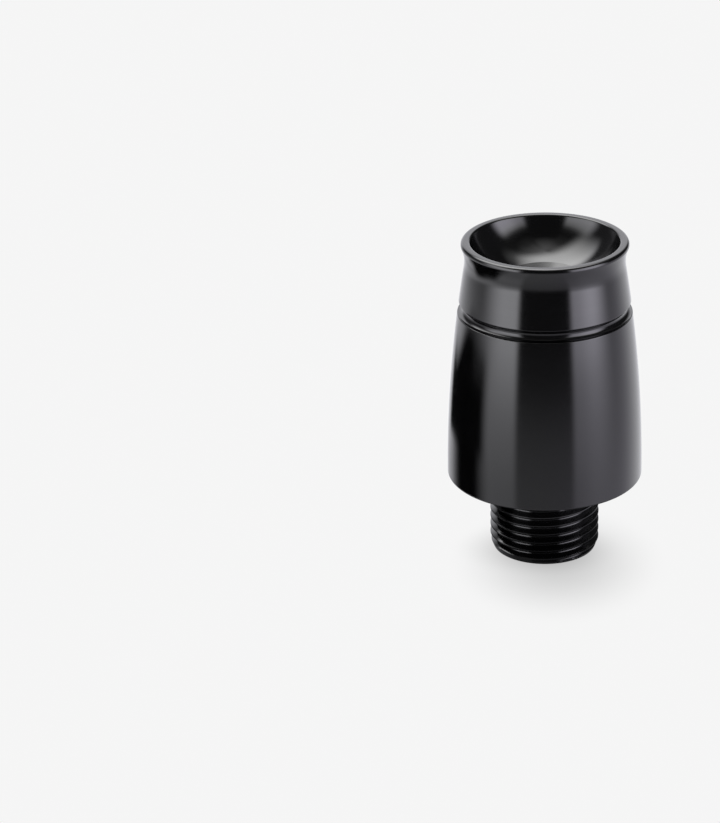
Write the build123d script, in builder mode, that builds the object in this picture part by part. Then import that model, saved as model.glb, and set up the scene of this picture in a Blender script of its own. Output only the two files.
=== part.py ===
"""Bar end weight: a handlebar end plug, turned and broached from one bar of aluminium.

It stands on the end of its threaded stud. Z is the turning axis, the stud's end face is Z = 0,
and the dished outer end, with its hexagon socket, faces up.
"""
import os
from math import radians, sqrt, tan

from build123d import *

# Driving dimensions, in millimetres

# Threaded stud, drawn as a plain cylinder at the thread's major diameter
thread_diameter = 18.0
thread_pitch = 1.5
stud_length = 13.2
relief_width = 1.2
relief_clearance = 0.1

# Barrel: one long arc from the shoulder up to the neck, which lies below the outer end
base_diameter = 32.0
base_edge_radius = 0.35
barrel_arc_radius = 225.0
neck_diameter = 26.08
neck_drop = 4.4

# Round groove turned into the barrel, below the outer end
groove_drop = 11.13
groove_radius = 0.95
groove_edge_radius = 0.12

# Flared lip round the outer end
overall_height = 53.7
lip_diameter = 27.0
lip_thickness = 0.7
lip_width = 1.4
lip_outer_radius = 0.55
lip_inner_radius = 0.4

# Dish inside the lip
dish_depth = 6.0
dish_sag = 0.9

# Hexagon socket at the bottom of the dish
socket_mouth_diameter = 12.0
socket_mouth_radius = 0.12
hexagon_across_flats = 8.0
socket_depth = 12.0
countersink_angle = 90.0
drill_point_angle = 118.0

# Sizes worked out from the driving dimensions
thread_depth = 0.6134 * thread_pitch
thread_radius = thread_diameter / 2
relief_radius = thread_radius - thread_depth - relief_clearance
relief_height = stud_length - relief_width
base_radius = base_diameter / 2
lip_radius = lip_diameter / 2
dish_radius = lip_radius - lip_width
mouth_radius = socket_mouth_diameter / 2
mouth_height = overall_height - dish_depth
hexagon_radius = hexagon_across_flats / 2
countersink_depth = (mouth_radius - hexagon_radius) / tan(radians(countersink_angle / 2))
countersink_floor = mouth_height - countersink_depth
socket_floor = mouth_height - socket_depth
drill_point_depth = hexagon_radius / tan(radians(drill_point_angle / 2))
neck_height = overall_height - neck_drop
groove_height = overall_height - groove_drop

# Corners of the half section, as radius and height
base_corner = (base_radius, stud_length)
neck_corner = (neck_diameter / 2, neck_height)
lip_lower_corner = (lip_radius, overall_height - lip_thickness)
lip_outer_corner = (lip_radius, overall_height)
lip_inner_corner = (dish_radius, overall_height)
mouth_corner = (mouth_radius, mouth_height)

barrel_arc = RadiusArc(base_corner, neck_corner, -barrel_arc_radius)
barrel_center = barrel_arc.arc_center


def barrel_radius(height):
    """Radius of the barrel's long arc at a height."""
    return barrel_center.X + sqrt(barrel_arc_radius**2 - (height - barrel_center.Y) ** 2)


# The groove's outer edges, close enough to find their corners
groove_edges = [groove_height - groove_radius, groove_height + groove_radius]

with BuildPart() as weight:
    # Half section, turned once round the axis
    with BuildSketch(Plane.XZ) as section:
        with BuildLine():
            Polyline(
                (0, 0),
                (thread_radius - thread_depth, 0),
                (thread_radius, thread_depth),
                (thread_radius, relief_height),
                (relief_radius, relief_height),
                (relief_radius, stud_length),
                base_corner,
            )
            barrel = RadiusArc(base_corner, neck_corner, -barrel_arc_radius)
            TangentArc(neck_corner, lip_lower_corner, tangent=barrel % 1)
            Polyline(lip_lower_corner, lip_outer_corner, lip_inner_corner)
            SagittaArc(lip_inner_corner, mouth_corner, dish_sag)
            Polyline(
                mouth_corner,
                (hexagon_radius, countersink_floor),
                (0, countersink_floor),
                (0, 0),
            )
        make_face()

        # Groove, cut in from the barrel's surface
        with Locations((barrel_radius(groove_height), groove_height)):
            Circle(groove_radius, mode=Mode.SUBTRACT)

        # Broken edges of the shoulder, the groove, the lip and the socket's mouth
        for corner, edge_radius in [
            (base_corner, base_edge_radius),
            *[((barrel_radius(height), height), groove_edge_radius) for height in groove_edges],
            (lip_outer_corner, lip_outer_radius),
            (lip_inner_corner, lip_inner_radius),
            (mouth_corner, socket_mouth_radius),
        ]:
            fillet(section.vertices().sort_by_distance((*corner, 0))[0], edge_radius)
    revolve(axis=Axis.Z)

    # Hexagon socket, broached down from its mouth over a drilled point
    with BuildSketch(Plane.XY.offset(mouth_height)):
        RegularPolygon(hexagon_radius, side_count=6, major_radius=False)
    extrude(amount=-socket_depth, mode=Mode.SUBTRACT)
    with Locations(Plane.XY.offset(socket_floor)):
        Cone(
            bottom_radius=0,
            top_radius=hexagon_radius,
            height=drill_point_depth,
            align=(Align.CENTER, Align.CENTER, Align.MAX),
            mode=Mode.SUBTRACT,
        )

weight.part.label = "weight"
os.makedirs("parts", exist_ok=True)
export_step(weight.part, "parts/weight.step")
print("barrel radius at the groove", round(barrel_radius(groove_height), 3))
print("volume in cubic millimetres", round(weight.part.volume, 1))
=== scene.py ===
# %% [markdown]
# # A bar end weight, turned in Geometry Nodes
#
# The weight plugs the end of a motorbike's handlebar. It is one bar of aluminium, turned on a lathe, with a
# hexagon socket broached into its dished end and a thread cut on its stud, and then anodised gloss black.
# The imported model is loaded first, because it fixes where everything is: the turning axis is Z, the stud's
# end face is Z = 0, and one Blender unit is a metre.

# %% Load the imported model
from collections import namedtuple
from math import atan2, cos, pi, radians, sin, sqrt, tan

import bmesh
import bpy
from mathutils import Matrix, Vector


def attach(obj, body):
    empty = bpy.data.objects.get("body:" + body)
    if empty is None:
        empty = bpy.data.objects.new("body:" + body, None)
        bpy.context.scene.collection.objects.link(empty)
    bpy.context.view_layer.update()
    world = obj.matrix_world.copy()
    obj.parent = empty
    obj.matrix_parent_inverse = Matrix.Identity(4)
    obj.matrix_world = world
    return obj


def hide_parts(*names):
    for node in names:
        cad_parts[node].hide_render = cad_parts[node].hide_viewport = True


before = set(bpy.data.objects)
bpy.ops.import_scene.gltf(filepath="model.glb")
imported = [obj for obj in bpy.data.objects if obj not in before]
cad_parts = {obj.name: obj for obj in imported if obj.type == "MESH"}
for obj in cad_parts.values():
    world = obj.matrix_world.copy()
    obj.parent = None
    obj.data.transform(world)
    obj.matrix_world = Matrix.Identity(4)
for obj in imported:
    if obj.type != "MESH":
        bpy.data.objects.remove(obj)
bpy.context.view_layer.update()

# %% [markdown]
# ## The half section
#
# A turned part is fully told by half of its lengthwise section. Drawn as a line of points, from the middle
# of the stud's end, up the outside, over the lip and down into the socket, it can be swept once round the
# axis. A subdivided cylinder could be pushed into this shape too, but the drawing keeps the real sizes.
# Lengths are in millimetres until the mesh is made. A metric thread is 0.6134 of its pitch deep, and the
# countersink and the drill's point at the bottom of the socket are cones of the same angle.

# %% Sizes of the weight
thread_diameter, thread_pitch, stud_length = 18.0, 1.5, 13.2
thread_radius = thread_diameter / 2
thread_depth = 0.6134 * thread_pitch
root_radius = thread_radius - thread_depth
crest_height, crest_round, root_round = -0.055, 0.06, 0.25
chamfer_radius, chamfer_slope, chamfer_round = thread_radius - 0.52, 0.4, 0.05
thread_start, thread_full = 0.1, 0.9
relief_radius, relief_height = root_radius - 0.1, stud_length - 1.2
overall_height = 53.7
base_corner = Vector((16.0, stud_length))
neck_corner = Vector((13.04, overall_height - 4.4))
lip_lower_corner = Vector((13.5, overall_height - 0.7))
lip_outer_corner = Vector((13.5, overall_height))
lip_inner_corner = Vector((12.1, overall_height))
mouth_corner = Vector((6.0, overall_height - 6.0))
barrel_arc_radius = 225.0
groove_heights, groove_depth = (41.63, 43.51), 0.95
bowl_depth = 0.9
hexagon_radius, socket_depth, cone_angle = 4.0, 12.0, radians(118)
socket_floor = mouth_corner.y - socket_depth
cone_rise = 1 / tan(cone_angle / 2)
print("thread depth", round(thread_depth, 3), "socket floor", socket_floor)

# %% [markdown]
# ## Arcs of the section
#
# The barrel, its groove, the flare under the lip and the bowl of the dish are each one circular arc. An arc
# is easiest to draw from its two ends and its bulge, which is how far its middle stands off the straight
# line. The barrel's bulge follows from its radius, and the flare's from leaving the barrel without a kink.


# %% Arc helper
def arc(start, end, bulge, steps):
    """Points from start to end on an arc that bulges to the right of its travel."""
    chord = end - start
    along = chord.normalized()
    outward = Vector((along.y, -along.x)) * (1 if bulge > 0 else -1)
    turn = 2 * atan2(abs(bulge), chord.length / 2)
    radius = chord.length / 2 / sin(turn)
    centre = start + chord / 2 + outward * (abs(bulge) - radius)
    angles = [turn * (2 * step / steps - 1) for step in range(steps + 1)]
    return [centre + radius * (sin(angle) * along + cos(angle) * outward) for angle in angles]


# %% Barrel, groove, flare and bowl
half_chord = (neck_corner - base_corner).length / 2
barrel_bulge = barrel_arc_radius - sqrt(barrel_arc_radius**2 - half_chord**2)
barrel_line = arc(base_corner, neck_corner, barrel_bulge, steps=4000)


def barrel_point(height):
    """The point of the barrel's arc at a height."""
    return min(barrel_line, key=lambda point: abs(point.y - height)).copy()


groove_low, groove_high = [barrel_point(height) for height in groove_heights]
groove_line = arc(groove_low, groove_high, -groove_depth, steps=24)
neck_tangent = barrel_line[-1] - barrel_line[-2]
flare_chord = lip_lower_corner - neck_corner
flare_bulge = -flare_chord.length / 2 * tan(abs(neck_tangent.angle_signed(flare_chord)) / 2)
flare_line = arc(neck_corner, lip_lower_corner, flare_bulge, steps=14)
bowl_line = arc(lip_inner_corner, mouth_corner, -bowl_depth, steps=24)
print("bulge of the barrel", round(barrel_bulge, 3), "and of the flare", round(flare_bulge, 3))

# %% [markdown]
# ## Broken edges
#
# No edge of a turned part is a perfect corner, and the small rounds are what catch the light. Each corner
# of the drawing carries its own radius here, and becomes a few points on an arc. A support point each side
# keeps the shading of the long faces flat right up to the round.

# %% Radii of the edges, and the room for a support point
relief_round, base_round, groove_round, mouth_round = 0.3, 0.35, 0.12, 0.12
lip_lower_round, lip_outer_round, lip_inner_round = 0.04, 0.55, 0.4
support_room = 0.18


def rounded(before, corner, after, radius, steps=5):
    """The points that round one corner of the line, with a support point at each end."""
    back = (before - corner).normalized()
    ahead = (after - corner).normalized()
    half = back.angle(ahead) / 2
    reach = radius / tan(half)
    start = corner + back * reach
    end = corner + ahead * reach
    side = (end - start).cross(corner - start)
    bulge = radius * (1 - sin(half)) * (1 if side < 0 else -1)
    room = min((before - start).length, (after - end).length, support_room)
    return [start + back * room / 3] + arc(start, end, bulge, steps) + [end + ahead * room / 3]


def plain(points):
    """Points of the line that aren't rounded."""
    return [(point, 0.0) for point in points]


# %% The outside, from the relief behind the thread up to the socket's mouth
outline = plain([Vector((relief_radius, relief_height))])
outline += [(Vector((relief_radius, stud_length)), relief_round), (base_corner, base_round)]
outline += plain(barrel_point(14.2 + 1.6 * step) for step in range(17))
outline += [(groove_low, groove_round)] + plain(groove_line[2:-2]) + [(groove_high, groove_round)]
outline += plain(barrel_point(44.5 + 1.1 * step) for step in range(5))
outline += plain(flare_line[:-1])
outline += [(lip_lower_corner, lip_lower_round), (lip_outer_corner, lip_outer_round)]
outline += [(lip_inner_corner, lip_inner_round)] + plain(bowl_line[2:-1]) + [(mouth_corner, mouth_round)]
print("corners and arc points of the outside", len(outline))

# %% [markdown]
# ## Rows of the turning
#
# Each point of the section becomes one row of faces round the weight. A row also says how much it takes
# part in what isn't round: the thread, the hexagon, and the cone of the countersink, on which the hexagon's
# wall ends higher at the corners than at the flats. These three shares are stored as point attributes.

# %% Rows of the stud, closest together at the thread's crests and roots
Row = namedtuple("Row", "radius height thread hexagon cone", defaults=(0.0, 0.0, 0.0))
crest_offsets = [0.0, 0.045, 0.08, 0.105, 0.135, 0.18, 0.3, 0.45, 0.56, 0.6, 0.64, 0.69]
turn_offsets = sorted(crest_offsets + [-offset for offset in crest_offsets[1:]] + [thread_pitch / 2])
rows = [Row(radius, 0.0) for radius in [0.0, root_radius - 0.6, root_radius - 0.1]]
for turn in range(-1, 9):
    for offset in turn_offsets:
        rows.append(Row(thread_radius, crest_height + turn * thread_pitch + offset, thread=1.0))


def on_countersink(radius):
    """The height of the countersink's cone at a radius."""
    return mouth_corner.y - (mouth_corner.x - radius) * cone_rise


# %% Rows of the outside, the countersink, the hexagon's wall and the drill's point
line = [point for point, radius in outline] + [Vector((5.0, on_countersink(5.0)))]
for place, (point, radius) in enumerate(outline):
    spots = [point] if radius == 0 else rounded(line[place - 1], point, line[place + 1], radius)
    rows += [Row(spot.x, spot.y) for spot in spots]
for radius, share in [(5.4, 0.2), (4.7, 0.65), (4.2, 0.95), (4.06, 1.0), (4.03, 1.0)]:
    rows.append(Row(radius, on_countersink(radius), hexagon=share, cone=cone_rise))
for drop in [0.03, 0.08, 0.2]:
    rows.append(Row(hexagon_radius, on_countersink(hexagon_radius) - drop, hexagon=1.0, cone=cone_rise))
for height in [44.5, 42.0, 39.0, socket_floor + 0.3, socket_floor]:
    rows.append(Row(hexagon_radius, height, hexagon=1.0))
for radius in [4.0, 3.9, 2.6, 1.3, 0.1, 0.0]:
    rows.append(Row(radius, socket_floor - (hexagon_radius - radius) * cone_rise))
print("rows of the turning", len(rows))

# %% The drawing as a mesh of points in metres
drawing = bpy.data.meshes.new("half_section")
drawing.from_pydata([(row.radius / 1000, 0.0, row.height / 1000) for row in rows], [], [])
for share in ["thread", "hexagon", "cone"]:
    attribute = drawing.attributes.new(share, "FLOAT", "POINT")
    attribute.data.foreach_set("value", [getattr(row, share) for row in rows])
weight = bpy.data.objects.new("weight_finished", drawing)
bpy.context.scene.collection.objects.link(weight)
print("points in the drawing", len(drawing.vertices))

# %% [markdown]
# ## The lathe as a node tree
#
# Screw and Spin modifiers turn a section too, but neither cuts a thread that starts at a chamfer or a
# hexagon that dies out in a cone. In Geometry Nodes a flat grid is rolled round the axis instead: its
# columns are angles, its rows are the points of the drawing, and plain sums decide each point's radius and
# height. A few helpers keep the tree readable.


# %% Node helpers
def put(tree, value, socket):
    """Feed a socket with a number, or with the output of another node."""
    if isinstance(value, bpy.types.NodeSocket):
        tree.links.new(value, socket)
    else:
        socket.default_value = value


def add(tree, kind, inputs=None, **settings):
    """Add a node, with its settings first and then its inputs by name or place."""
    node = tree.nodes.new(kind)
    for name, value in settings.items():
        setattr(node, name, value)
    for name, value in (inputs or {}).items():
        put(tree, value, node.inputs[name])
    return node


def sums(tree, operation, *values):
    """A Math node on up to three values."""
    return add(tree, "ShaderNodeMath", dict(enumerate(values)), operation=operation).outputs[0]


def vectors(tree, operation, *values):
    """A Vector Math node, which gives a number for a length or a dot product."""
    node = add(tree, "ShaderNodeVectorMath", dict(enumerate(values)), operation=operation)
    return node.outputs["Value" if operation in ("LENGTH", "DOT_PRODUCT") else "Vector"]


def blend(tree, share, first, second):
    """First where the share is 0, second where it is 1."""
    return sums(tree, "MULTIPLY_ADD", share, sums(tree, "SUBTRACT", second, first), first)


def ease(tree, value, start, end):
    """A smooth step from 0 at start to 1 at end, which may be the smaller of the two."""
    span = {"Value": value, "From Min": start, "From Max": end}
    return add(tree, "ShaderNodeMapRange", span, interpolation_type="SMOOTHSTEP").outputs["Result"]


# %% The tree and its named sizes
lathe = bpy.data.node_groups.new("turned_weight", "GeometryNodeTree")
lathe.interface.new_socket("Drawing", in_out="INPUT", socket_type="NodeSocketGeometry")
lathe_sizes = {
    "Segments": ("NodeSocketInt", 192),
    "Thread Pitch": ("NodeSocketFloat", thread_pitch / 1000),
    "Thread Depth": ("NodeSocketFloat", thread_depth / 1000),
    "Thread Start": ("NodeSocketFloat", thread_start / 1000),
    "Thread Full": ("NodeSocketFloat", thread_full / 1000),
    "Thread Top": ("NodeSocketFloat", relief_height / 1000),
    "Crest Height": ("NodeSocketFloat", crest_height / 1000),
    "Crest Width": ("NodeSocketFloat", thread_pitch / 8 / 1000),
    "Chamfer Radius": ("NodeSocketFloat", chamfer_radius / 1000),
    "Chamfer Slope": ("NodeSocketFloat", chamfer_slope),
    "Finish": ("NodeSocketMaterial", None),
}
lathe_sockets = {
    name: lathe.interface.new_socket(name, in_out="INPUT", socket_type=kind).identifier
    for name, (kind, value) in lathe_sizes.items()
}
lathe.interface.new_socket("Turned", in_out="OUTPUT", socket_type="NodeSocketGeometry")
given = lathe.nodes.new("NodeGroupInput").outputs
print("inputs of the lathe", list(lathe_sockets))

# %% Grid, with the angle of its columns and the drawing's point of its rows
row_total = add(lathe, "GeometryNodeAttributeDomainSize", {"Geometry": given["Drawing"]}, component="MESH")
row_count = row_total.outputs["Point Count"]
columns = sums(lathe, "ADD", given["Segments"], 1)
grid = add(
    lathe,
    "GeometryNodeMeshGrid",
    {"Size X": 1.0, "Size Y": 1.0, "Vertices X": columns, "Vertices Y": row_count},
)
position = lathe.nodes.new("GeometryNodeInputPosition").outputs[0]
on_grid = add(lathe, "ShaderNodeSeparateXYZ", {0: position})
across = sums(lathe, "ADD", on_grid.outputs["X"], 0.5)
angle = sums(lathe, "MULTIPLY", across, 2 * pi)
last_row = sums(lathe, "SUBTRACT", row_count, 1)
row_place = sums(lathe, "MULTIPLY", sums(lathe, "ADD", on_grid.outputs["Y"], 0.5), last_row)
row_number = sums(lathe, "ROUND", row_place)


def from_drawing(value, kind):
    """Read a value of the drawing at the point that this row stands for."""
    node = add(lathe, "GeometryNodeSampleIndex", data_type=kind, domain="POINT")
    put(lathe, given["Drawing"], node.inputs["Geometry"])
    put(lathe, value, node.inputs["Value"])
    put(lathe, row_number, node.inputs["Index"])
    return node.outputs["Value"]


def share_of(name):
    """Read one of the three shares of the drawing."""
    named = add(lathe, "GeometryNodeInputNamedAttribute", {"Name": name}, data_type="FLOAT")
    return from_drawing(named.outputs["Attribute"], "FLOAT")


section_point = from_drawing(position, "FLOAT_VECTOR")
drawn = add(lathe, "ShaderNodeSeparateXYZ", {0: section_point})
print("nodes so far", len(lathe.nodes))

# %% [markdown]
# ## The thread
#
# A metric thread of 1.5 mm pitch winds up the stud as a right-hand helix, with 60 degrees between its
# flanks, a narrow flat on its crest and a rounded root. The rows of the stud climb by one pitch in a turn,
# so they run along the crests and flanks. They stop level at the stud's end and at the relief, and the
# depth is worked out after that, so that the thread is cut off cleanly there. At the end the thread fades
# out on a slim chamfer, which leaves a full ring.

# %% Climbing rows and the depth of the groove
climb = sums(lathe, "MULTIPLY", across, given["Thread Pitch"])
climbing = sums(lathe, "ADD", drawn.outputs["Z"], climb)
thread_height = sums(lathe, "MINIMUM", sums(lathe, "MAXIMUM", climbing, 0.0), given["Thread Top"])
unwound = sums(lathe, "SUBTRACT", sums(lathe, "SUBTRACT", thread_height, climb), given["Crest Height"])
to_crest = sums(lathe, "PINGPONG", unwound, sums(lathe, "MULTIPLY", given["Thread Pitch"], 0.5))
past_crest = sums(lathe, "SUBTRACT", to_crest, sums(lathe, "MULTIPLY", given["Crest Width"], 0.5))
flank = sums(lathe, "MULTIPLY", past_crest, tan(radians(60)))
soft_flank = sums(lathe, "SMOOTH_MAX", flank, 0.0, crest_round / 1000)
full_groove = sums(lathe, "SMOOTH_MIN", soft_flank, given["Thread Depth"], root_round / 1000)
fade = ease(lathe, thread_height, given["Thread Start"], given["Thread Full"])
cut_radius = sums(lathe, "SUBTRACT", drawn.outputs["X"], sums(lathe, "MULTIPLY", full_groove, fade))
chamfer = sums(lathe, "MULTIPLY_ADD", thread_height, given["Chamfer Slope"], given["Chamfer Radius"])
thread_cut = sums(lathe, "SMOOTH_MIN", cut_radius, chamfer, chamfer_round / 1000)
stud_radius = sums(lathe, "MINIMUM", thread_cut, chamfer)

# %% [markdown]
# ## The hexagon socket
#
# A broach leaves six flats, 8 mm across. The distance from the axis to a flat's line at any angle is the
# inner radius divided by a cosine, with a corner on the X axis. A row with a full share takes that radius,
# and a row of the countersink rises with it along the cone, so that the cone meets the flats in six curves.

# %% Radius of the hexagon and height on the cone
sector = sums(lathe, "SUBTRACT", sums(lathe, "FLOORED_MODULO", angle, pi / 3), pi / 6)
reach = sums(lathe, "SUBTRACT", sums(lathe, "DIVIDE", 1.0, sums(lathe, "COSINE", sector)), 1.0)
grown = sums(lathe, "MULTIPLY", sums(lathe, "MULTIPLY", reach, share_of("hexagon")), drawn.outputs["X"])
plain_radius = sums(lathe, "ADD", drawn.outputs["X"], grown)
plain_height = sums(lathe, "MULTIPLY_ADD", grown, share_of("cone"), drawn.outputs["Z"])

threaded = share_of("thread")
turned_radius = blend(lathe, threaded, plain_radius, stud_radius)
turned_height = blend(lathe, threaded, plain_height, thread_height)
print("nodes of the lathe", len(lathe.nodes))

# %% Roll the grid up, close its seam and give it its finish
weld_distance = 2e-6
rolled_place = add(
    lathe,
    "ShaderNodeCombineXYZ",
    {
        "X": sums(lathe, "MULTIPLY", turned_radius, sums(lathe, "COSINE", angle)),
        "Y": sums(lathe, "MULTIPLY", turned_radius, sums(lathe, "SINE", angle)),
        "Z": turned_height,
    },
).outputs[0]
rolled = add(lathe, "GeometryNodeSetPosition", {"Geometry": grid.outputs["Mesh"], "Position": rolled_place})
welding = {"Geometry": rolled.outputs[0], "Distance": weld_distance}
closed = add(lathe, "GeometryNodeMergeByDistance", welding)
coated = add(lathe, "GeometryNodeSetMaterial", {"Geometry": closed.outputs[0], "Material": given["Finish"]})
add(lathe, "NodeGroupOutput", {"Turned": coated.outputs[0]})
print("lathe ready")

# %% [markdown]
# ## The finish
#
# Black anodising is a clear, hard oxide skin filled with dye. Nearly all that is seen of it is the gloss of
# the skin, so the colour is close to black and the index of refraction is that of the oxide. The tool leaves
# marks that run round the axis: they depend on the distance from the axis and on the height alone, which a
# noise read at those two numbers gives. They change the gloss a little and the surface by a trace.

# %% Black anodised finish
finish = bpy.data.materials.new("black_anodised_turned")
finish.use_nodes = True
skin = finish.node_tree
skin.nodes.clear()
skin_place = add(skin, "ShaderNodeTexCoord").outputs["Object"]
skin_parts = add(skin, "ShaderNodeSeparateXYZ", {0: skin_place})
side_x, side_y = skin_parts.outputs["X"], skin_parts.outputs["Y"]
squared = sums(skin, "MULTIPLY_ADD", side_x, side_x, sums(skin, "MULTIPLY", side_y, side_y))
from_axis = sums(skin, "SQRT", squared)
ring_place = add(skin, "ShaderNodeCombineXYZ", {"X": from_axis, "Z": skin_parts.outputs["Z"]}).outputs[0]
marks = add(skin, "ShaderNodeTexNoise", {"Vector": ring_place, "Scale": 9000.0, "Detail": 3.0})
cloud = add(skin, "ShaderNodeTexNoise", {"Vector": skin_place, "Scale": 220.0, "Detail": 2.0})
dye = add(skin, "ShaderNodeValToRGB", {"Fac": cloud.outputs["Fac"]})
dye_stops = [(0.35, (0.0013, 0.0013, 0.0016, 1.0)), (0.65, (0.0021, 0.0021, 0.0026, 1.0))]
for element, (stop, colour) in zip(dye.color_ramp.elements, dye_stops):
    element.position = stop
    element.color = colour
gloss = add(
    skin,
    "ShaderNodeMapRange",
    {"Value": marks.outputs["Fac"], "From Min": 0.3, "From Max": 0.7, "To Min": 0.1, "To Max": 0.16},
)
trace = add(skin, "ShaderNodeBump", {"Strength": 0.06, "Distance": 1e-5, "Height": marks.outputs["Fac"]})
shader = add(
    skin,
    "ShaderNodeBsdfPrincipled",
    {
        "Base Color": dye.outputs["Color"],
        "Roughness": gloss.outputs["Result"],
        "Normal": trace.outputs["Normal"],
        "IOR": 1.7,
        "Metallic": 0.0,
    },
)
add(skin, "ShaderNodeOutputMaterial", {"Surface": shader.outputs["BSDF"]})
print("finish", finish.name, "with", len(skin.nodes), "nodes")

# %% [markdown]
# ## Turn the weight
#
# The tree runs as a modifier on the drawing, with its sizes set by socket identifier. The evaluated result
# becomes a plain mesh and the modifier goes, because the export keeps only what is really there. The normals
# are then turned outwards, and edges that fold by more than 35 degrees are marked sharp.

# %% Run the lathe and keep the result
turning = weight.modifiers.new("turning", "NODES")
turning.node_group = lathe
for name, (kind, value) in lathe_sizes.items():
    turning[lathe_sockets[name]] = finish if name == "Finish" else value
bpy.context.view_layer.update()
graph = bpy.context.evaluated_depsgraph_get()
turned_mesh = bpy.data.meshes.new_from_object(weight.evaluated_get(graph), depsgraph=graph)
weight.modifiers.clear()
weight.data = turned_mesh
turned_mesh.name = "weight_finished"

# %% Outward normals and sharp edges
sliver_length, sharp_fold = 1e-7, radians(35)
shaping = bmesh.new()
shaping.from_mesh(turned_mesh)
bmesh.ops.dissolve_degenerate(shaping, dist=sliver_length, edges=shaping.edges)
bmesh.ops.recalc_face_normals(shaping, faces=shaping.faces)
open_edges = sum(1 for edge in shaping.edges if len(edge.link_faces) != 2)
volume = shaping.calc_volume(signed=True)
shaping.to_mesh(turned_mesh)
shaping.free()
turned_mesh.shade_smooth()
turned_mesh.set_sharp_from_angle(angle=sharp_fold)
triangles = sum(len(face.vertices) - 2 for face in turned_mesh.polygons)
print("triangles", triangles, "open edges", open_edges, "volume in cubic mm", round(volume * 1e9, 1))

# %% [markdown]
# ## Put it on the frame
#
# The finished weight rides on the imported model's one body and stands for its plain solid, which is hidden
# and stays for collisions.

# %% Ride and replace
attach(weight, "root")
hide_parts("weight")
print("finished weight spans", [round(side * 1000, 2) for side in weight.dimensions])

# %% [markdown]
# ## The floor
#
# The weight stands on a pale, even floor that runs out of sight. As in many product photographs, its shadow
# is only a soft spot round the foot, much smaller than the barrel would throw. So the floor shows the camera
# a brightness of its own, less two smooth spots: a wide one, mostly in front, and a smaller one at the stud.
# The floor lies a hair below the stud's end, so that the two faces don't share a plane.

# %% Brightness of the backdrop, and the spots: depth, then middle and reach in millimetres
backdrop_light = 0.916
shadow_spots = [(0.34, (2.2, -7.5), (18.5, 22.9)), (0.262, (-1.0, -2.3), (15.0, 11.2))]
floor_half, floor_height = 4.0, -0.00005


def level_square(half, height):
    """Corners of a level square round the axis."""
    return [(half * x, half * y, height) for x, y in [(-1, -1), (1, -1), (1, 1), (-1, 1)]]


# %% Pale floor
paper = bpy.data.materials.new("pale_floor")
paper.use_nodes = True
paper_tree = paper.node_tree
paper_tree.nodes.clear()
paper_place = add(paper_tree, "ShaderNodeNewGeometry").outputs["Position"]
paper_light = backdrop_light
for depth, middle, reach in shadow_spots:
    spot_middle = (middle[0] / 1000, middle[1] / 1000, 0.0)
    spot_scale = (1000 / reach[0], 1000 / reach[1], 0.0)
    from_middle = vectors(paper_tree, "SUBTRACT", paper_place, spot_middle)
    far = vectors(paper_tree, "LENGTH", vectors(paper_tree, "MULTIPLY", from_middle, spot_scale))
    shade = sums(paper_tree, "MULTIPLY", ease(paper_tree, far, 1.0, 0.0), backdrop_light * depth)
    paper_light = sums(paper_tree, "SUBTRACT", paper_light, shade)
paper_glow = add(paper_tree, "ShaderNodeEmission", {"Color": (1.0, 1.0, 1.0, 1.0), "Strength": paper_light})
paper_matt = add(paper_tree, "ShaderNodeBsdfDiffuse", {"Color": (0.9, 0.9, 0.9, 1.0)})
paper_path = add(paper_tree, "ShaderNodeLightPath").outputs["Is Camera Ray"]
paper_mix = add(
    paper_tree,
    "ShaderNodeMixShader",
    {0: paper_path, 1: paper_matt.outputs[0], 2: paper_glow.outputs[0]},
)
add(paper_tree, "ShaderNodeOutputMaterial", {"Surface": paper_mix.outputs[0]})
floor_mesh = bpy.data.meshes.new("floor")
floor_mesh.from_pydata(level_square(floor_half, floor_height), [], [(0, 1, 2, 3)])
floor_mesh.materials.append(paper)
floor = bpy.data.objects.new("floor", floor_mesh)
bpy.context.scene.collection.objects.link(floor)
floor.visible_glossy = False
print("floor of", floor.dimensions.x, "metres")

# %% [markdown]
# ## Black cards, partly of painted shade
#
# Gloss black shows its shape by its dark edges as much as by its lights. A low black card stands close by on
# the left, bent round the weight, with an arched and faded top; where it runs on below the floor, it is
# painted shade that darkens the mirrored floor on that side. A small round sheet of painted shade lies under
# the foot, where the floor is in shade, and darkens the thread. Only reflections see them. They are pieces
# in the scene and not dark parts of the studio, because the lip, the barrel and the thread see them in
# different directions.


# %% Helper for a dark piece that only reflections see
def mirrored_dark_piece(name, points, faces):
    """A black piece that only reflections see: its node tree, and the input for how black it is."""
    mesh = bpy.data.meshes.new(name)
    mesh.from_pydata(points, [], faces)
    felt = bpy.data.materials.new(name)
    felt.use_nodes = True
    tree = felt.node_tree
    tree.nodes.clear()
    clear = add(tree, "ShaderNodeBsdfTransparent").outputs[0]
    black = add(tree, "ShaderNodeBsdfDiffuse", {"Color": (0.018, 0.018, 0.018, 1.0)}).outputs[0]
    mix = add(tree, "ShaderNodeMixShader", {1: clear, 2: black})
    add(tree, "ShaderNodeOutputMaterial", {"Surface": mix.outputs[0]})
    mesh.materials.append(felt)
    piece = bpy.data.objects.new(name, mesh)
    bpy.context.scene.collection.objects.link(piece)
    piece.visible_camera = False
    piece.visible_diffuse = False
    return tree, mix.inputs[0]


# %% Round sheet of painted shade under the foot
foot_half, foot_height, foot_shade_strength = 0.03, -0.0002, 0.8
foot_shade_tree, foot_shade_black = mirrored_dark_piece("painted_foot_shade", level_square(foot_half, foot_height), [(0, 1, 2, 3)])
foot_far = vectors(foot_shade_tree, "LENGTH", add(foot_shade_tree, "ShaderNodeNewGeometry").outputs["Position"])
# Painted shade of the floor round the foot: full strength out to 17 mm from the axis, gone at 29 mm.
foot_shade_share = ease(foot_shade_tree, foot_far, 0.029, 0.017)
put(foot_shade_tree, sums(foot_shade_tree, "MULTIPLY", foot_shade_share, foot_shade_strength), foot_shade_black)

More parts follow.
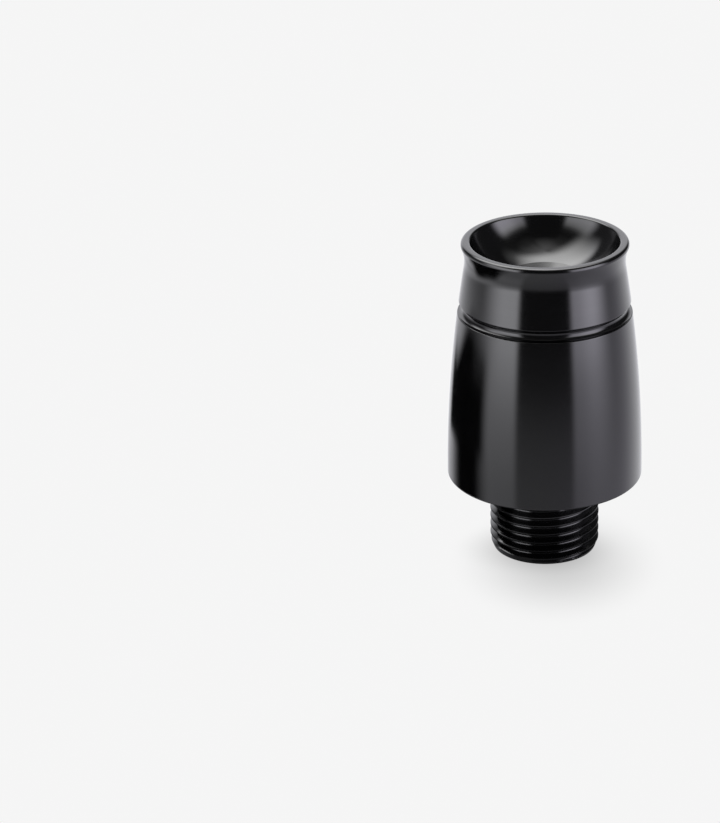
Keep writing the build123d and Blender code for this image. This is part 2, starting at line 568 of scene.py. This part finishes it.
# %% Card on the left, as a strip of upright faces
card_radius, card_bottom, card_top = 0.053, -0.024, 0.039
card_angles = [radians(degrees) for degrees in range(-141, -52, 4)]
card_edge = [(card_radius * sin(turn), -card_radius * cos(turn)) for turn in card_angles]
card_points = [(x, y, z) for x, y in card_edge for z in (card_bottom, card_top)]
card_faces = [(2 * step, 2 * step + 2, 2 * step + 3, 2 * step + 1) for step in range(len(card_edge) - 1)]
felt_tree, felt_black = mirrored_dark_piece("black_card_and_painted_shade", card_points, card_faces)
felt_place = add(felt_tree, "ShaderNodeNewGeometry").outputs["Position"]
felt_parts = add(felt_tree, "ShaderNodeSeparateXYZ", {0: felt_place})
felt_front = sums(felt_tree, "MULTIPLY", felt_parts.outputs["Y"], -1.0)
felt_angle = sums(felt_tree, "DEGREES", sums(felt_tree, "ARCTAN2", felt_parts.outputs["X"], felt_front))
felt_height = felt_parts.outputs["Z"]


# %% How black the left card is, by height in metres and by degrees round the weight
def felt_end(rise, low, high):
    """An upright end of the card, at two angles low down and two others above a rise."""
    raised = ease(felt_tree, felt_height, *rise)
    return blend(felt_tree, raised, ease(felt_tree, felt_angle, *low), ease(felt_tree, felt_angle, *high))


felt_arch = felt_height
for drop, start, end in [(0.012, -97, -125), (0.003, -92, -68)]:
    felt_arch = sums(felt_tree, "MULTIPLY_ADD", ease(felt_tree, felt_angle, start, end), drop, felt_arch)
haze_height, haze_angle = ease(felt_tree, felt_height, 0.018, 0.032), ease(felt_tree, felt_angle, -95, -75)
felt_haze = sums(felt_tree, "MULTIPLY", haze_height, haze_angle)
card_and_shade_share = ease(felt_tree, felt_arch, 0.038, 0.028)
# Below the floor the card is painted shade of the mirrored floor; it fades out from 14 to 22 mm under it.
for share in [
    ease(felt_tree, felt_height, -0.022, -0.014),
    sums(felt_tree, "MULTIPLY_ADD", felt_haze, -0.25, 1.0),
    felt_end((0.001, 0.005), (-130, -104), (-140, -131)),
    felt_end((0.002, 0.008), (-56, -80), (-59, -73)),
]:
    card_and_shade_share = sums(felt_tree, "MULTIPLY", card_and_shade_share, share)
put(felt_tree, card_and_shade_share, felt_black)
print("card of", len(card_faces), "faces")

# %% [markdown]
# ## The studio
#
# A gloss black part is lit by what it mirrors. The studio is a tent drawn in the world by direction: a tall
# softbox at the left and at the right, a wide one overhead and behind, a pale back wall, and a dark gap at
# the front, where the camera looks in. Each upright zone has its own brightness by height, as stops of
# degrees and radiance. The camera itself sees an even pale backdrop.

# %% World, direction and helpers
studio = bpy.data.worlds.new("studio")
bpy.context.scene.world = studio
studio.use_nodes = True
tent = studio.node_tree
tent.nodes.clear()
heading = add(tent, "ShaderNodeTexCoord").outputs["Generated"]
heading_parts = add(tent, "ShaderNodeSeparateXYZ", {0: heading})
toward_camera = sums(tent, "MULTIPLY", heading_parts.outputs["Y"], -1.0)
azimuth = sums(tent, "DEGREES", sums(tent, "ARCTAN2", heading_parts.outputs["X"], toward_camera))
elevation = sums(tent, "DEGREES", sums(tent, "ARCSINE", heading_parts.outputs["Z"]))
ramp_top = 5.0


def by_height(stops):
    """A brightness by elevation, on a colour ramp that holds radiance up to its top."""
    node = add(tent, "ShaderNodeValToRGB", {"Fac": sums(tent, "MULTIPLY_ADD", elevation, 1 / 180, 0.5)})
    ramp = node.color_ramp
    while len(ramp.elements) < len(stops):
        ramp.elements.new(0.5)
    for element, (degrees, radiance) in zip(ramp.elements, stops):
        element.position = degrees / 180 + 0.5
    for element, (degrees, radiance) in zip(ramp.elements, stops):
        element.color = [radiance / ramp_top] * 3 + [1.0]
    return sums(tent, "MULTIPLY", node.outputs["Color"], ramp_top)


def edge(low, high, height_low, height_high):
    """An upright edge of a zone, between two azimuths low down and two others higher up."""
    raised = ease(tent, elevation, height_low, height_high)
    return blend(tent, raised, ease(tent, azimuth, *low), ease(tent, azimuth, *high))


# %% Upright zones of the tent, low part and then high part
left_box = [(-90, 0.42), (-50, 0.58), (-35, 0.78), (-24, 0.7), (-17, 1.15), (-13, 1.75), (-8, 2.75)]
left_box += [(20, 2.4), (31, 1.8), (36, 1.25), (40, 0.5), (45, 0.1), (54, 0.05), (70, 0.2), (90, 1.0)]
right_box = [(-90, 0.42), (-50, 0.62), (-24, 0.88), (-17, 1.28), (-13, 1.7), (-8, 3.1)]
right_box += [(22, 3.0), (31, 2.8), (37, 1.75), (42, 0.4), (46, 0.1), (54, 0.05), (70, 0.2), (90, 1.0)]
right_edge = [(degrees, (0.82 if degrees < -14 else 0.68) * radiance) for degrees, radiance in right_box]
dark_front = [(-90, 0.42), (-45, 0.42), (-24, 0.355), (-18, 0.27), (-13, 0.1), (-8, 0.045)]
dark_front += [(64, 0.045), (90, 1.0)]
right_rear = [(-90, 0.4), (-45, 0.66), (-24, 0.75), (-10, 0.6), (-2, 0.5), (4, 0.05), (60, 0.08), (90, 1.0)]
right_back = [(-90, 0.4), (-45, 0.66), (-24, 1.12), (-8, 1.05), (-2, 0.6), (4, 0.05)]
right_back += [(40, 0.04), (56, 0.7), (90, 1.0)]
left_rear = [(-90, 0.4), (-60, 0.45), (-32, 0.95), (-27, 0.95), (-24.8, 0.78), (-22.5, 1.0)]
left_rear += [(-16, 0.95), (-10, 0.45), (-4, 0.45), (8, 0.1), (60, 0.1)]
back_wall = [(-90, 0.4), (-60, 0.45), (-40, 0.6), (-24, 1.05), (-10, 1.15), (22, 1.3), (32, 1.3), (40, 1.0)]

# %% The zones in their order, from behind the weight round by its left, front and right
left_side = edge((-96, -62), (-96, -54), -17, -12)
left_top = ease(tent, azimuth, -97, -77)
total = by_height(back_wall)
for share, zone in [
    (edge((-178, -150), (-155, -139), -16, 0), left_rear),
    (blend(tent, ease(tent, elevation, 0, 18), left_side, left_top), left_box),
    (ease(tent, azimuth, -39, -30), dark_front),
    (ease(tent, azimuth, 30, 40), right_edge),
    (ease(tent, azimuth, 40, 64), right_box),
    (edge((65, 97), (77, 95), 0, 18), right_rear),
    (ease(tent, azimuth, 100, 140), right_back),
    (ease(tent, azimuth, 150, 172), back_wall),
]:
    total = blend(tent, share, total, by_height(zone))
print("nodes of the tent so far", len(tent.nodes))

# %% Softbox overhead and behind
box_light = 4.85
box_azimuth, box_elevation, box_roll = radians(-100.3), radians(68.1), radians(-56.4)
box_facing = Vector(
    (
        sin(box_azimuth) * cos(box_elevation),
        -cos(box_azimuth) * cos(box_elevation),
        sin(box_elevation),
    )
)
box_turn = Matrix.Rotation(box_roll, 3, box_facing)
box_across = box_turn @ Vector((0, 0, 1)).cross(box_facing).normalized()
box_up = box_facing.cross(box_across)
ahead = vectors(tent, "DOT_PRODUCT", heading, box_facing)
over = sums(tent, "MAXIMUM", ahead, 0.05)
wide = sums(tent, "DIVIDE", vectors(tent, "DOT_PRODUCT", heading, box_across), over)
tall = sums(tent, "DIVIDE", vectors(tent, "DOT_PRODUCT", heading, box_up), over)
box_lit = ease(tent, ahead, 0.1, 0.3)
for place_on_box, start, end in [
    (wide, -1.36, -0.44),
    (wide, 0.8, -0.24),
    (tall, -0.94, -0.58),
    (tall, 0.23, -0.13),
]:
    box_lit = sums(tent, "MULTIPLY", box_lit, ease(tent, place_on_box, start, end))
mirrored = blend(tent, box_lit, total, box_light)
print("overhead softbox faces", [round(part, 3) for part in box_facing])

# %% What each kind of ray sees, with a cool tint in the mirrored studio that grows to the right
soft_box_light, soft_rest_light = 3.0, 0.25
path = add(tent, "ShaderNodeLightPath")
soft_light = sums(tent, "MULTIPLY_ADD", box_lit, soft_box_light, soft_rest_light)
for_light = blend(tent, path.outputs["Is Glossy Ray"], soft_light, mirrored)
for_all = blend(tent, path.outputs["Is Camera Ray"], for_light, backdrop_light)
cool = sums(tent, "MULTIPLY", ease(tent, azimuth, -20, 45), ease(tent, azimuth, 140, 100))
lower = sums(tent, "MULTIPLY", path.outputs["Is Glossy Ray"], ease(tent, elevation, 50, 20))
tints = {}
for channel, left_tint, right_tint in [("Red", 1.0, 1.0), ("Green", 1.0, 0.975), ("Blue", 1.05, 1.1)]:
    tints[channel] = blend(tent, lower, 1.0, blend(tent, cool, left_tint, right_tint))
tint = add(tent, "ShaderNodeCombineColor", tints).outputs[0]
shine = add(tent, "ShaderNodeBackground", {"Color": tint, "Strength": for_all})
add(tent, "ShaderNodeOutputWorld", {"Surface": shine.outputs[0]})
print("nodes of the studio", len(tent.nodes))

# %% [markdown]
# ## The camera
#
# The photograph looks down on the weight by about 24 degrees through a long lens, with the weight right of
# the middle of the frame. The camera is aimed at the weight's middle and then turned until that point lands
# on its pixel. A lens shift would do it too, but it would push every other view off centre.

# %% Camera at the photograph's viewing angle, with the lens and the aim in pixels of the photograph
photo_height, lens_pixels = 823, 2873.0
aim_right, aim_up = 184.6, 13.47
aim = Vector((0.0, 0.0, 0.02615))
camera_distance = 0.4716
view_height, camera_roll = radians(23.53), radians(0.1)
away = Vector((0.0, -cos(view_height), sin(view_height)))
lens = bpy.data.cameras.new("camera")
lens.sensor_fit = "AUTO"
lens.sensor_width = 36.0
lens.lens = lens_pixels / photo_height * lens.sensor_width
lens.clip_start, lens.clip_end = 0.01, 50.0
camera = bpy.data.objects.new("camera", lens)
bpy.context.scene.collection.objects.link(camera)
straight = (-away).to_track_quat("-Z", "Y").to_matrix()
level = Matrix.Rotation(camera_roll, 3, "Z")
seen_from_lens = Vector((aim_right, aim_up, -lens_pixels)).normalized()
turned = seen_from_lens.rotation_difference(Vector((0.0, 0.0, -1.0))).to_matrix()
stand = Matrix.Translation(aim + away * camera_distance)
camera.matrix_world = stand @ (straight @ level @ turned).to_4x4()
bpy.context.scene.camera = camera
print("lens in mm", round(lens.lens, 2))

# %% [markdown]
# ## Close the scene
#
# The colours are shown without a film look.

# %% View
bpy.context.scene.view_settings.view_transform = "Standard"
